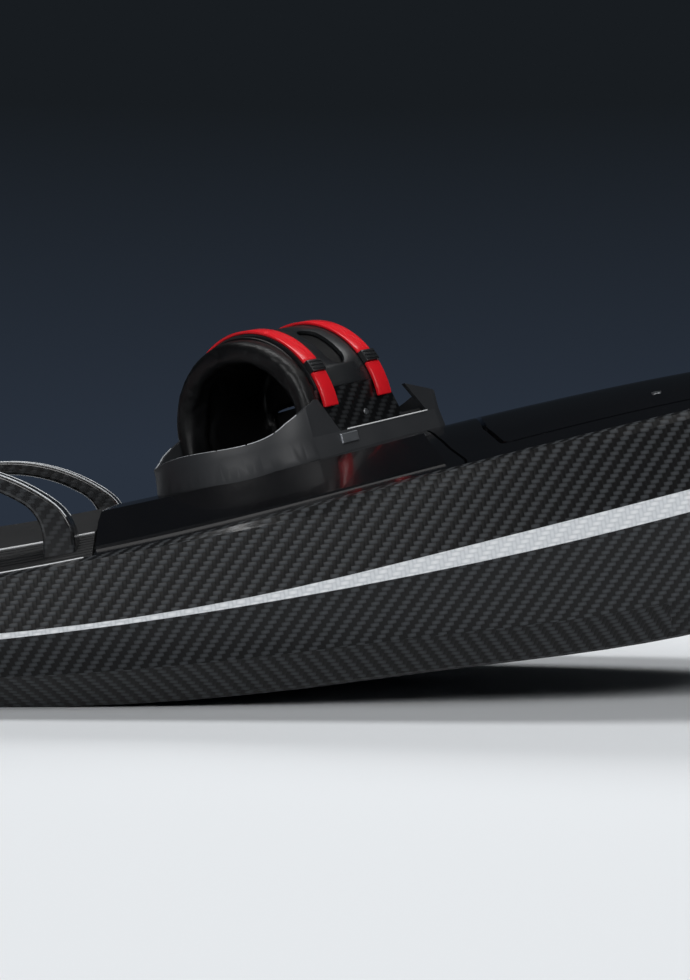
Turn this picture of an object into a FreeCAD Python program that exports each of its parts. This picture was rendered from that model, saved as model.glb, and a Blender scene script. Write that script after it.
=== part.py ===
# Motorized surfboard: a faceted carbon hull with a jet pump, a front hatch, two foot bindings and carry handles.
# X runs to the bow, Y to port and Z up, in millimetres. The origin is on the floor, under the middle of the hull.
import FreeCAD
import Part
import Sketcher
import math
import os
import re

Vector = FreeCAD.Vector

# Reaches of the shapes that only cut or trim, how far they pass a face, and how near counts as touching.
BELOW = -50
SKY = 600
ASIDE = 400
CLEAR = 20
OVERSHOOT = 1
NEAR = 0.01
ARC_POINTS = 9

doc = FreeCAD.newDocument("JetBoard")
sheet = doc.addObject("Spreadsheet::Sheet", "Sizes")

# Driving dimensions in millimetres and degrees.
SIZES = {
    # hull
    "edge_inset": 15,
    "bevel_inset": 8,
    "crease_inset": 28,
    "chine_inset": 70,
    "lip_inset": 76,
    "side_slope": 0.245,
    "crown_rise": 24,
    "stripe_depth": 1.6,
    "stripe_edge": 0.8,
    "bumper_start": 868,
    "fit": 0.3,
    # deck panels
    "deck_skin": 8,
    "deck_rim": 9,
    "panel_gap": 3,
    "deck_stern": -884,
    "deck_bow": 846,
    "pad_front": -198,
    "pad_front_slant": 12,
    "pad_inner": 190,
    "groove_count": 8,
    "groove_first": 8,
    "groove_pitch": 10,
    "groove_width": 3,
    "groove_depth": 2,
    "joint_middle": 158,
    "joint_side": 188,
    "joint_breadth": 260,
    "crest_foot": 256,
    "crest_shoulder": 160,
    "crest_step": 3,
    "crest_rise": 1.5,
    "crest_fall": 4,
    "crest_end": 20,
    # front hatch
    "hatch_rear": 219,
    "hatch_rear_breadth": 150,
    "hatch_corner": 231,
    "hatch_breadth": 230,
    "hatch_waist": 430,
    "hatch_waist_breadth": 214,
    "hatch_front": 640,
    "hatch_front_breadth": 110,
    "hatch_round": 10,
    "hatch_gap": 5,
    "seal_height": 4,
    "seal_inset": 6,
    "seal_width": 9,
    "bay_ledge": 24,
    "bay_floor": 128,
    "bay_front": 604,
    "battery_length": 290,
    "battery_width": 200,
    "battery_height": 110,
    "battery_middle": 420,
    "hinge_ahead": 12,
    "hinge_drop": 7,
    "hinge_radius": 7,
    "pin_radius": 3,
    "knuckle_half": 18,
    "ear_width": 14,
    "web_root": 6,
    "pocket_lap": 4,
    "knuckle_clearance": 0.5,
    # carry handles
    "handle_middle": -361,
    "handle_offset": 230,
    "handle_width": 38,
    "handle_top": 255,
    "handle_foot": 60,
    "handle_half_span": 149,
    "handle_crown_radius": 215,
    "handle_turn_radius": 60,
    "grip_thickness": 17,
    "grip_half_span": 115,
    "grip_crown_radius": 185,
    "grip_turn_radius": 45,
    "handle_round": 4,
    # foot bindings
    "binding_turn": 50,
    "front_binding_place": 5,
    "rear_binding_place": -575,
    "sole_half_width": 104,
    "sole_heel": -75,
    "sole_toe": 175,
    "sole_toe_round": 24,
    "sole_height": 22,
    "sole_flare": 3,
    "wall_thickness": 5,
    "heel_rim": 38,
    "heel_rim_start": -184,
    "heel_dip": 31,
    "heel_dip_place": -150,
    "ear_back": -107,
    "ear_back_height": 43,
    "strap_ear_height": 62,
    "strap_ear_place": -58,
    "strap_ear_width": 6,
    "strap_ear_foot": -26,
    "toe_wall_start": 107,
    "toe_wall_height": 59,
    "toe_wall_foot": 137,
    "toe_rim": 43,
    "toe_rim_start": 165,
    "toe_scoop_depth": 12,
    "toe_scoop_radius": 150,
    "footbed_thickness": 5,
    "tunnel_centre": 54,
    "tunnel_radius": 98,
    "collar_thickness": 18,
    "collar_heel": -76,
    "collar_toe": 76,
    "toe_lining": 14,
    "toe_opening": 36,
    "toe_opening_half": 70,
    "roll_length": 28,
    "roll_thickness": 23,
    "roll_round": 10,
    "plate_thickness": 2,
    "plate_top": 72,
    "plate_toe": 95,
    "plate_gap": 1,
    "tongue_thickness": 4.3,
    "tongue_heel": -46,
    "tongue_toe": 75,
    "slot_length": 68,
    "slot_width": 30,
    "slot_angle": 46,
    "strap_width": 24,
    "strap_thickness": 3.5,
    "rear_strap_place": -33,
    "front_strap_place": 64,
    "strap_near_angle": 61,
    "buckle_near_angle": 69,
    "tab_near_angle": 91.5,
    "strap_far_angle": 90,
    "buckle_thickness": 7,
    "tab_width": 23,
    "tab_thickness": 4.5,
    "tilt_reach": 120,
    # jet drive
    "shaft_height": 62,
    "motor_front": -240,
    "motor_length": 200,
    "motor_radius": 55,
    "socket_depth": 20,
    "shaft_radius": 8,
    "shaft_tunnel_radius": 15,
    "pump_front": -700,
    "pump_length": 138,
    "pump_bore": 45,
    "pump_wall": 5,
    "hub_radius": 16,
    "hub_nose": 14,
    "hub_lip": 3,
    "impeller_rear": -780,
    "impeller_length": 56,
    "blade_count": 4,
    "blade_thickness": 3,
    "blade_root_radius": 10,
    "blade_tip_radius": 51,
    "blade_root_chord": 46,
    "blade_root_pitch": 38,
    "blade_tip_chord": 54,
    "blade_tip_pitch": 58,
    "tip_clearance": 5,
    "vane_count": 7,
    "vane_thickness": 2.5,
    "vane_lap": 2,
    "vane_inset": 6,
    "vane_pitch": -12,
    "stator_hub_front": -787,
    "nozzle_length": 58,
    "nozzle_mouth": 32,
    "nozzle_lip": 14,
    "nozzle_wall": 5,
    "intake_front": -455,
    "intake_rear": -692,
    "intake_half_width": 45,
    "ramp_knee": -640,
    "knee_drop": 4,
    "bar_count": 5,
    "bar_width": 5,
    "grate_height": 8,
    "grate_rim": 8,
    "ride_plate_front": -704,
    "ride_plate_rear": -890,
    "ride_plate_half_width": 85,
    "ride_plate_thickness": 5,
}

# Hull sections from stern to bow. Columns after the name: place along X, half breadth at the stripe,
# half breadth of the flat crown's shoulder, heights of the deck edge, bevel, stripe top, stripe foot,
# side crease, chine, chine lip and keel, and half breadth of the flat keel. Where the keel is below zero
# the bottom is planed flat at the floor.
SECTION_COLUMNS = (
    "place", "beam", "shoulder", "edge", "bevel", "high", "low", "crease", "chine", "lip", "keel", "flat",
)
SECTIONS = {
    "stern": (-900, 240, 178, 98, 96, 60, 54, 30, 5, 0, -3, 140),
    "pump": (-620, 279, 190, 105, 103, 63, 56, 32, 5, 0, -3, 150),
    "grip": (-280, 300, 190, 142, 140, 85, 77.5, 37, 5, 0, -3, 150),
    "heel": (-20, 300, 190, 198, 191, 123.5, 113.5, 58, 20, 15, 0, 100),
    "toe": (160, 300, 190, 245, 229, 166, 147, 80, 41, 38, 14, 22),
    "hatch": (409, 281, 190, 306, 298.5, 228, 203.5, 114, 74, 71, 56, 20),
    "bay": (600, 230, 158, 345, 339, 275, 252, 165, 124, 121, 108, 16),
    "fore": (780, 138, 94, 368, 364, 318, 300, 242, 216, 214, 205, 10),
    "tip": (900, 34, 22, 376, 374, 357, 352, 339, 335, 334, 331, 6),
}

cell_row = 0
for alias, value in SIZES.items():
    cell_row += 1
    sheet.set(f"A{cell_row}", alias)
    sheet.set(f"B{cell_row}", str(value))
    sheet.setAlias(f"B{cell_row}", alias)
for section, values in SECTIONS.items():
    for column, value in zip(SECTION_COLUMNS, values):
        cell_row += 1
        sheet.set(f"A{cell_row}", f"{section}_{column}")
        sheet.set(f"B{cell_row}", str(value))
        sheet.setAlias(f"B{cell_row}", f"{section}_{column}")
doc.recompute()


def size(alias):
    return float(sheet.get(alias))


def bound(formula):
    """A formula of plain size names, written with the sheet's name before each of them."""
    return re.sub(r"[a-z_]+", lambda word: f"Sizes.{word.group(0)}", formula)


def worked_out(formula):
    return float(sheet.evalExpression(bound(formula)))


def polygon(points):
    return Part.makePolygon(points + [points[0]])


def prism(outline, low, high):
    """A solid between two heights over an outline given as X and Y pairs."""
    face = Part.Face(polygon([Vector(x, y, low) for x, y in outline]))
    return face.extrude(Vector(0, 0, high - low))


def mirrored_outline(half):
    """The port half of an outline, given from stern to bow, joined to its mirror image."""
    return half + [(x, -y) for x, y in reversed(half)]


def box(low, high):
    return Part.makeBox(high[0] - low[0], high[1] - low[1], high[2] - low[2], Vector(*low))


def cylinder(start, end, radius):
    """A cylinder between two points."""
    run = Vector(*end) - Vector(*start)
    return Part.makeCylinder(radius, run.Length, Vector(*start), run)


subparts = {}


def keep(node, shape, placement=None):
    """A sub-part whose shape comes from the hull's own surfaces."""
    feature = doc.addObject("Part::Feature", node)
    feature.Label = node
    feature.Shape = shape
    if placement:
        feature.Placement = placement
    subparts[node] = feature
    return feature


# Hull form: a smooth loft through the sections, each with a flat crown arc and nine straight facets a side.
def station(section):
    """Named half breadths and heights of one section."""
    beam = size(f"{section}_beam")
    widest = max(size(f"{name}_beam") for name in SECTIONS)
    share = beam / widest
    here = {column: size(f"{section}_{column}") for column in SECTION_COLUMNS}
    for name in ("edge", "bevel", "crease", "chine", "lip"):
        here[f"{name}_out"] = beam - size(f"{name}_inset") * share
    here["shoulder_high"] = here["edge"] + size("side_slope") * (here["edge_out"] - here["shoulder"])
    here["crown_high"] = here["shoulder_high"] + size("crown_rise") * here["shoulder"] / size("toe_shoulder")
    return here


def crown_arc(here, drop):
    """The crown from starboard shoulder to port shoulder, lowered by a drop."""
    x = here["place"]
    shoulder = here["shoulder"]
    side = here["shoulder_high"] - drop
    middle = here["crown_high"] - drop
    return Part.Arc(Vector(x, -shoulder, side), Vector(x, 0, middle), Vector(x, shoulder, side)).toShape()


def closed_section(here, drop, port_points):
    """The crown arc, the port points downwards and their mirror image back up."""
    x = here["place"]
    port = [(here["shoulder"], here["shoulder_high"] - drop)] + port_points
    ring = port + [(-y, z) for y, z in reversed(port)]
    lines = [
        Part.LineSegment(Vector(x, *ring[i]), Vector(x, *ring[i + 1])).toShape()
        for i in range(len(ring) - 1)
    ]
    return Part.Wire([crown_arc(here, drop)] + lines)


def hull_section(section):
    here = station(section)
    facets = [
        (here["edge_out"], here["edge"]),
        (here["bevel_out"], here["bevel"]),
        (here["beam"], here["high"]),
        (here["beam"], here["low"]),
        (here["crease_out"], here["crease"]),
        (here["chine_out"], here["chine"]),
        (here["lip_out"], here["lip"]),
        (here["flat"], here["keel"]),
    ]
    return closed_section(here, 0, facets)


def above_deck_section(section, drop):
    """The space over the deck, its floor lowered by a drop."""
    here = station(section)
    sky = here["edge"] + ASIDE
    return closed_section(here, drop, [(here["edge_out"], here["edge"] - drop), (here["edge_out"], sky)])


def inside_rim_section(section):
    here = station(section)
    breadth = here["edge_out"] - size("deck_rim") * here["edge_out"] / station("toe")["edge_out"]
    corners = [(-breadth, BELOW), (breadth, BELOW), (breadth, SKY), (-breadth, SKY)]
    return polygon([Vector(here["place"], y, z) for y, z in corners])


def stripe_section(section, side):
    here = station(section)
    x = here["place"]
    inner = side * (here["beam"] - size("stripe_depth"))
    outer = side * (here["beam"] + CLEAR)
    low = here["low"] + size("stripe_edge")
    high = here["high"] - size("stripe_edge")
    return polygon([Vector(x, inner, low), Vector(x, outer, low), Vector(x, outer, high), Vector(x, inner, high)])


def loft(wires):
    return Part.makeLoft(wires, True, False)


def above_deck(drop):
    return loft([above_deck_section(section, drop) for section in SECTIONS])


above_floor = box((size("stern_place") - CLEAR, -ASIDE, 0), (size("tip_place") + CLEAR, ASIDE, SKY))
full_hull = loft([hull_section(section) for section in SECTIONS]).common(above_floor)
inside_rim = loft([inside_rim_section(section) for section in SECTIONS])


def deck_height(x, y):
    """The height of the deck's top over a place."""
    plumb = Part.makeLine(Vector(x, y, BELOW), Vector(x, y, SKY))
    return full_hull.common(plumb).BoundBox.ZMax


# Raised moulding under the front binding: upright feet near the deck's edge, flat slopes and an almost flat top.
def crest_section(place):
    crown = deck_height(place, 0) + size("crest_rise")
    foot = size("crest_foot")
    foot_high = deck_height(place, foot) + size("crest_step")
    shoulder = size("crest_shoulder")
    shoulder_high = crown - size("crest_fall")
    bottom = foot_high - 2 * size("deck_skin")
    slopes = [(shoulder, shoulder_high), (foot, foot_high), (foot, bottom)]
    ring = slopes + [(-y, z) for y, z in reversed(slopes)]
    lines = [
        Part.LineSegment(Vector(place, *ring[i]), Vector(place, *ring[i + 1])).toShape()
        for i in range(len(ring) - 1)
    ]
    top = Part.Arc(
        Vector(place, -shoulder, shoulder_high), Vector(place, 0, crown), Vector(place, shoulder, shoulder_high)
    )
    return Part.Wire([top.toShape()] + lines)


# Deck panels: the skin between the hull's top and the same surface lowered, split where the panels meet.
deck_length = box((size("deck_stern"), -ASIDE, BELOW), (size("deck_bow"), ASIDE, SKY))
deck_recess = above_deck(size("deck_skin")).common(inside_rim).common(deck_length)
deck_skin = full_hull.common(deck_recess)

gap = size("panel_gap")
half_gap = gap / 2
pad_front = size("pad_front")
pad_front_outer = pad_front + size("pad_front_slant")
pad_inner = size("pad_inner")
far_out = size("toe_beam") + CLEAR


def joint_arc(shift):
    """The curved joint ahead of the front binding, as points from port to starboard."""
    side = Vector(size("joint_side") + shift, size("joint_breadth"), 0)
    middle = Vector(size("joint_middle") + shift, 0, 0)
    arc = Part.Arc(side, middle, Vector(side.x, -side.y, 0)).toShape()
    return [(point.x, point.y) for point in arc.discretize(Number=ARC_POINTS)]


side_pad_outline = [
    (size("deck_stern") - CLEAR, pad_inner + half_gap),
    (pad_front - half_gap, pad_inner + half_gap),
    (pad_front_outer - half_gap, far_out),
    (size("deck_stern") - CLEAR, far_out),
]
aft_pad_outline = mirrored_outline(
    [(size("deck_stern") - CLEAR, pad_inner - half_gap), (pad_front - half_gap, pad_inner - half_gap)]
)
joint_outer = (size("joint_side") - half_gap, far_out)
centre_outline = (
    [(pad_front + half_gap, -pad_inner), (pad_front_outer + half_gap, -far_out), (joint_outer[0], -far_out)]
    + list(reversed(joint_arc(-half_gap)))
    + [joint_outer, (pad_front_outer + half_gap, far_out), (pad_front + half_gap, pad_inner)]
)
fore_outline = (
    [(size("joint_side") + half_gap, -far_out), (size("deck_bow") + CLEAR, -far_out)]
    + [(size("deck_bow") + CLEAR, far_out), (size("joint_side") + half_gap, far_out)]
    + joint_arc(half_gap)
)


# Front hatch outline, grown or shrunk by a margin, with rounded corners.
def hatch_prism(margin, low=BELOW, high=SKY):
    half = [
        (size("hatch_rear"), size("hatch_rear_breadth")),
        (size("hatch_corner"), size("hatch_breadth")),
        (size("hatch_waist"), size("hatch_waist_breadth")),
        (size("hatch_front"), size("hatch_front_breadth")),
    ]
    wire = polygon([Vector(x, y, low) for x, y in mirrored_outline(half)])
    rounding = size("hatch_round")
    tight = wire.makeOffset2D(margin - rounding, 2)
    rounded = tight.makeOffset2D(rounding, 0)
    return Part.Face(rounded).extrude(Vector(0, 0, high - low))


crest_outline = (
    [(pad_front + half_gap, -pad_inner), (pad_front_outer + half_gap, -far_out)]
    + [(size("joint_side") - size("crest_end"), -far_out)]
    + list(reversed(joint_arc(-size("crest_end"))))
    + [(size("joint_side") - size("crest_end"), far_out)]
    + [(pad_front_outer + half_gap, far_out), (pad_front + half_gap, pad_inner)]
)
crest_places = (pad_front - size("crest_end"), size("heel_place"), size("toe_place") + size("crest_end"))
crest = loft([crest_section(place) for place in crest_places]).common(prism(crest_outline, BELOW, SKY))

groove_floor = above_deck(size("groove_depth"))


def side_pad(side):
    """A grip pad with lengthwise grooves cut into its top."""
    outline = [(x, side * y) for x, y in side_pad_outline]
    pad = deck_skin.common(prism(outline, BELOW, SKY))
    for index in range(int(size("groove_count"))):
        middle = side * (pad_inner + size("groove_first") + size("groove_pitch") * index)
        half = size("groove_width") / 2
        groove = box((size("deck_stern") - CLEAR, middle - half, BELOW), (pad_front + CLEAR, middle + half, SKY))
        pad = pad.cut(groove_floor.common(groove))
    return pad


keep("side_pad_port", side_pad(1))
keep("side_pad_starboard", side_pad(-1))
keep("aft_deck_pad", deck_skin.common(prism(aft_pad_outline, BELOW, SKY)))
centre_skin = deck_skin.common(prism(centre_outline, BELOW, SKY))
keep("centre_deck", centre_skin.fuse(crest.common(deck_recess)).removeSplitter())

above_seal_floor = above_deck(size("deck_skin") + size("seal_height"))
hatch_recess = above_seal_floor.common(hatch_prism(size("hatch_gap")))

# Hinge at the lid's bow end: two ears and a pin stay with the hull, and one knuckle swings with the lid.
hinge_x = size("hatch_front") + size("hinge_ahead")
hinge_z = deck_height(hinge_x, 0) - size("hinge_drop")
ear_start = size("knuckle_half") + size("knuckle_clearance")
ear_end = ear_start + size("ear_width")
pocket_half = ear_end + size("hatch_gap")
pocket_floor = hinge_z - size("hinge_radius") - size("hatch_gap")
pocket_front = hinge_x + size("hinge_radius") + size("hatch_gap")
hinge_pocket = box(
    (size("hatch_front") - size("pocket_lap"), -pocket_half, pocket_floor), (pocket_front, pocket_half, SKY)
)
hinge_axis = ((hinge_x, -ear_end, hinge_z), (hinge_x, ear_end, hinge_z))
pin = cylinder(*hinge_axis, size("pin_radius"))


def barrel(start, end):
    """A hinge barrel between two places along the pin."""
    return cylinder((hinge_x, start, hinge_z), (hinge_x, end, hinge_z), size("hinge_radius"))


def ear(start):
    """One ear: a barrel on a block that stands on the pocket's floor."""
    end = start + size("ear_width")
    radius = size("hinge_radius")
    return barrel(start, end).fuse(
        box((hinge_x - radius, start, pocket_floor), (hinge_x + radius, end, hinge_z))
    )


keep("hatch_bracket", ear(-ear_end).fuse(ear(ear_start)).fuse(pin).removeSplitter())

lid_plate = deck_skin.common(hatch_prism(0))
knuckle_half = size("knuckle_half")
knuckle_web = box(
    (size("hatch_front") - size("web_root"), -knuckle_half, hinge_z - size("pin_radius")),
    (hinge_x, knuckle_half, hinge_z + size("pin_radius")),
)
knuckle = barrel(-knuckle_half, knuckle_half).fuse(knuckle_web)
knuckle_room = cylinder(*hinge_axis, size("pin_radius") + size("fit"))
keep("hatch_lid", lid_plate.fuse(knuckle).cut(knuckle_room).removeSplitter())

seal_ring = hatch_prism(-size("seal_inset")).cut(hatch_prism(-size("seal_inset") - size("seal_width")))
seal_space = above_seal_floor.cut(above_deck(size("deck_skin") + size("fit")))
keep("hatch_seal", seal_space.common(seal_ring))

fore_cut = hatch_prism(size("hatch_gap")).fuse(hinge_pocket)
keep("fore_deck", deck_skin.common(prism(fore_outline, BELOW, SKY)).cut(fore_cut))

# Battery bay under the lid, and the battery as one plain block on its floor.
battery_bay = hatch_prism(-size("bay_ledge"), size("bay_floor"), SKY).common(
    box((0, -ASIDE, size("bay_floor")), (size("bay_front"), ASIDE, SKY))
)


def body_named(node):
    body = doc.addObject("PartDesign::Body", node)
    body.Label = node
    subparts[node] = body
    return body


def sketch_on(body, name, role, offset=None):
    """A sketch on one of the body's own origin planes, moved off it by a formula."""
    sketch = body.newObject("Sketcher::SketchObject", f"{body.Name}_{name}")
    plane = next(feature for feature in body.Origin.OriginFeatures if feature.Role == role)
    sketch.AttachmentSupport = [(plane, "")]
    sketch.MapMode = "FlatFace"
    if offset:
        sketch.setExpression("AttachmentOffset.Base.z", bound(offset))
    return sketch


def draw_outline(sketch, corners):
    """A closed outline whose corners are each pinned by two formulas."""
    first = sketch.GeometryCount
    places = [Vector(worked_out(across), worked_out(up), 0) for across, up in corners]
    count = len(corners)
    for index in range(count):
        sketch.addGeometry(Part.LineSegment(places[index], places[(index + 1) % count]), False)
    for index in range(count):
        after = first + (index + 1) % count
        sketch.addConstraint(Sketcher.Constraint("Coincident", first + index, 2, after, 1))
    for index, (across, up) in enumerate(corners):
        for kind, formula, value in (
            ("DistanceX", across, places[index].x),
            ("DistanceY", up, places[index].y),
        ):
            number = sketch.addConstraint(Sketcher.Constraint(kind, -1, 1, first + index, 1, value))
            sketch.setExpression(f"Constraints[{number}]", bound(formula))


def draw_rectangle(sketch, left, right, low, high):
    draw_outline(sketch, [(left, low), (right, low), (right, high), (left, high)])


def draw_circle(sketch, radius, across="", up=""):
    """A circle on the sketch's origin, or centred by two formulas."""
    centre = Vector(worked_out(across) if across else 0, worked_out(up) if up else 0, 0)
    circle = sketch.addGeometry(Part.Circle(centre, Vector(0, 0, 1), worked_out(radius)), False)
    number = sketch.addConstraint(Sketcher.Constraint("Radius", circle, worked_out(radius)))
    sketch.setExpression(f"Constraints[{number}]", bound(radius))
    for kind, formula, value in (("DistanceX", across, centre.x), ("DistanceY", up, centre.y)):
        number = sketch.addConstraint(Sketcher.Constraint(kind, -1, 1, circle, 3, value))
        if formula:
            sketch.setExpression(f"Constraints[{number}]", bound(formula))


def pad_from(body, sketch, length, name="pad"):
    pad = body.newObject("PartDesign::Pad", f"{body.Name}_{name}")
    pad.Profile = sketch
    pad.setExpression("Length", bound(length))
    return pad


def pocket_from(body, sketch, length, name, backwards=False):
    pocket = body.newObject("PartDesign::Pocket", f"{body.Name}_{name}")
    pocket.Profile = sketch
    pocket.Reversed = backwards
    pocket.setExpression("Length", bound(length))
    return pocket


battery = body_named("battery")
battery_sketch = sketch_on(battery, "outline", "XY_Plane", "bay_floor")
draw_rectangle(
    battery_sketch,
    "battery_middle - battery_length / 2",
    "battery_middle + battery_length / 2",
    "-battery_width / 2",
    "battery_width / 2",
)
pad_from(battery, battery_sketch, "battery_height")

# Motor: one plain block with a socket for the shaft's end.
motor = body_named("motor")
motor_sketch = sketch_on(motor, "outline", "YZ_Plane", "motor_front - motor_length")
draw_circle(motor_sketch, "motor_radius", "", "shaft_height")
pad_from(motor, motor_sketch, "motor_length")
socket_sketch = sketch_on(motor, "socket", "YZ_Plane", "motor_front - motor_length")
draw_circle(socket_sketch, "shaft_radius + fit", "", "shaft_height")
doc.recompute()
pocket_from(motor, socket_sketch, "socket_depth", "socket_cut", True)

# Drive shaft, from the motor's socket to the bearing in the stator hub.
shaft = body_named("drive_shaft")
shaft_sketch = sketch_on(shaft, "outline", "YZ_Plane", "stator_hub_front - socket_depth + fit")
draw_circle(shaft_sketch, "shaft_radius", "", "shaft_height")
pad_from(
    shaft, shaft_sketch, "motor_front - motor_length + socket_depth - fit - stator_hub_front + socket_depth - fit"
)


def turned(body, name, corners):
    """A solid turned about the shaft's line from an outline of places along X and radii."""
    sketch = sketch_on(body, name, "XZ_Plane")
    draw_outline(sketch, [(along, f"shaft_height + {radius}") for along, radius in corners])
    axis = sketch.addGeometry(
        Part.LineSegment(Vector(-CLEAR, size("shaft_height"), 0), Vector(CLEAR, size("shaft_height"), 0)), True
    )
    sketch.addConstraint(Sketcher.Constraint("Horizontal", axis))
    number = sketch.addConstraint(Sketcher.Constraint("DistanceY", -1, 1, axis, 1, size("shaft_height")))
    sketch.setExpression(f"Constraints[{number}]", bound("shaft_height"))
    turn = body.newObject("PartDesign::Revolution", f"{body.Name}_{name}_turn")
    turn.Profile = sketch
    turn.ReferenceAxis = (sketch, ["Axis0"])
    turn.Angle = 360
    return turn


# Impeller: a rounded hub on the shaft and twisted blades trimmed to the pump's bore.
def blades(count, root, tip, root_chord, tip_chord, root_pitch, tip_pitch, thickness, middle):
    """Twisted blades about the shaft's line, each lofted from its root to its tip."""
    made = []
    for index in range(count):
        wires = []
        for radius, chord, pitch in ((root, root_chord, root_pitch), (tip, tip_chord, tip_pitch)):
            half_chord = chord / 2
            half_thick = thickness / 2
            corners = [(-half_chord, -half_thick), (half_chord, -half_thick)]
            corners += [(half_chord, half_thick), (-half_chord, half_thick)]
            wire = polygon([Vector(along, across, radius) for along, across in corners])
            wire.rotate(Vector(0, 0, radius), Vector(0, 0, 1), pitch)
            wires.append(wire)
        blade = Part.makeLoft(wires, True, True)
        blade.translate(Vector(middle, 0, size("shaft_height")))
        blade.rotate(Vector(middle, 0, size("shaft_height")), Vector(1, 0, 0), index * 360 / count)
        made.append(blade)
    return made


def on_shaft(start, end, radius):
    return cylinder((start, 0, size("shaft_height")), (end, 0, size("shaft_height")), radius)


impeller_front = size("impeller_rear") + size("impeller_length")
impeller_hub = on_shaft(size("impeller_rear"), impeller_front, size("hub_radius"))
hub_nose = Part.makeCone(
    size("hub_radius"),
    size("shaft_radius") + size("hub_lip"),
    size("hub_nose"),
    Vector(impeller_front, 0, size("shaft_height")),
    Vector(1, 0, 0),
)
impeller_blades = blades(
    int(size("blade_count")),
    size("blade_root_radius"),
    size("blade_tip_radius"),
    size("blade_root_chord"),
    size("blade_tip_chord"),
    size("blade_root_pitch"),
    size("blade_tip_pitch"),
    size("blade_thickness"),
    (size("impeller_rear") + impeller_front) / 2,
)
trim_cylinder = on_shaft(
    size("impeller_rear"), impeller_front, size("pump_bore") - size("tip_clearance")
)
impeller_shape = impeller_hub.fuse(hub_nose).fuse([blade.common(trim_cylinder) for blade in impeller_blades])
keep("impeller", impeller_shape.cut(on_shaft(size("stern_place"), 0, size("shaft_radius"))).removeSplitter())

# Pump housing: a tube with a stator hub, which holds the shaft's end, and vanes that straighten the flow.
pump_rear = size("pump_front") - size("pump_length")
pump_outer = size("pump_bore") + size("pump_wall")
housing = on_shaft(pump_rear, size("pump_front"), pump_outer).cut(
    on_shaft(pump_rear - OVERSHOOT, size("pump_front") + OVERSHOOT, size("pump_bore"))
)
stator_hub = on_shaft(pump_rear, size("stator_hub_front"), size("hub_radius"))
vane_chord = size("stator_hub_front") - pump_rear - size("vane_inset")
stator_vanes = blades(
    int(size("vane_count")),
    size("hub_radius") - size("vane_lap"),
    size("pump_bore") + size("vane_lap"),
    vane_chord,
    vane_chord,
    size("vane_pitch"),
    size("vane_pitch"),
    size("vane_thickness"),
    (pump_rear + size("stator_hub_front")) / 2,
)
vane_space = on_shaft(pump_rear, size("stator_hub_front"), size("pump_bore") + OVERSHOOT)
housing = housing.fuse(stator_hub).fuse([vane.common(vane_space) for vane in stator_vanes])
bearing = on_shaft(size("stator_hub_front") - size("socket_depth"), 0, size("shaft_radius") + size("fit"))
keep("pump_housing", housing.cut(bearing).removeSplitter())

# Nozzle: a tapering mouth behind the pump, ending at the transom.
nozzle = body_named("nozzle")
nozzle_rear = "pump_front - pump_length - nozzle_length"
turned(
    nozzle,
    "wall",
    [
        ("pump_front - pump_length", "pump_bore"),
        ("pump_front - pump_length", "pump_bore + pump_wall"),
        (f"{nozzle_rear} + nozzle_lip", "nozzle_mouth + nozzle_wall"),
        (nozzle_rear, "nozzle_mouth + nozzle_wall"),
        (nozzle_rear, "nozzle_mouth"),
        (f"{nozzle_rear} + nozzle_lip", "nozzle_mouth"),
    ],
)

# Intake grate: a frame with bars along the flow, flush with the bottom.
grate = body_named("intake_grate")
grate_sketch = sketch_on(grate, "frame", "XY_Plane")
draw_rectangle(
    grate_sketch, "intake_rear + fit", "intake_front - fit", "-intake_half_width + fit", "intake_half_width - fit"
)
draw_rectangle(
    grate_sketch,
    "intake_rear + grate_rim",
    "intake_front - grate_rim",
    "-intake_half_width + grate_rim",
    "intake_half_width - grate_rim",
)
pad_from(grate, grate_sketch, "grate_height")
bar_sketch = sketch_on(grate, "bar", "XY_Plane")
first_bar = "-intake_half_width + grate_rim + (2 * intake_half_width - 2 * grate_rim) / (bar_count + 1)"
draw_rectangle(
    bar_sketch,
    "intake_rear + grate_rim / 2",
    "intake_front - grate_rim / 2",
    f"{first_bar} - bar_width / 2",
    f"{first_bar} + bar_width / 2",
)
doc.recompute()
bar_pad = pad_from(grate, bar_sketch, "grate_height", "bar_pad")
bars = grate.newObject("PartDesign::LinearPattern", "grate_bars")
bars.Originals = [bar_pad]
bars.Direction = (bar_sketch, ["V_Axis"])
bars.setExpression(
    "Length", bound("(bar_count - 1) * (2 * intake_half_width - 2 * grate_rim) / (bar_count + 1)")
)
bars.setExpression("Occurrences", bound("bar_count"))
grate.Tip = bars

# Ride plate: a flat metal plate let into the bottom under the pump.
ride_plate = body_named("ride_plate")
plate_sketch = sketch_on(ride_plate, "outline", "XY_Plane")
draw_rectangle(
    plate_sketch, "ride_plate_rear", "ride_plate_front", "-ride_plate_half_width", "ride_plate_half_width"
)
pad_from(ride_plate, plate_sketch, "ride_plate_thickness")

# Room in the hull for the drive: pump tunnel, intake ramp, shaft tunnel and motor space.
fit = size("fit")
pump_room = on_shaft(size("stern_place") - OVERSHOOT, size("pump_front") + fit, pump_outer + fit)
ramp_side = [
    (size("intake_rear"), -OVERSHOOT),
    (size("intake_rear"), size("shaft_height") - size("pump_bore")),
    (size("pump_front"), size("shaft_height") - size("pump_bore")),
    (size("pump_front"), size("shaft_height") + size("pump_bore")),
    (size("ramp_knee"), size("shaft_height") + size("pump_bore") - size("knee_drop")),
    (size("intake_front"), size("grate_height")),
    (size("intake_front"), -OVERSHOOT),
]
intake_half = size("intake_half_width")
ramp_face = Part.Face(polygon([Vector(x, -intake_half, z) for x, z in ramp_side]))
intake_ramp = ramp_face.extrude(Vector(0, 2 * intake_half, 0))
motor_rear = size("motor_front") - size("motor_length")
shaft_tunnel = on_shaft(size("ramp_knee"), motor_rear + OVERSHOOT, size("shaft_tunnel_radius"))
motor_room = on_shaft(motor_rear - fit, size("motor_front") + fit, size("motor_radius") + fit)
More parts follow.
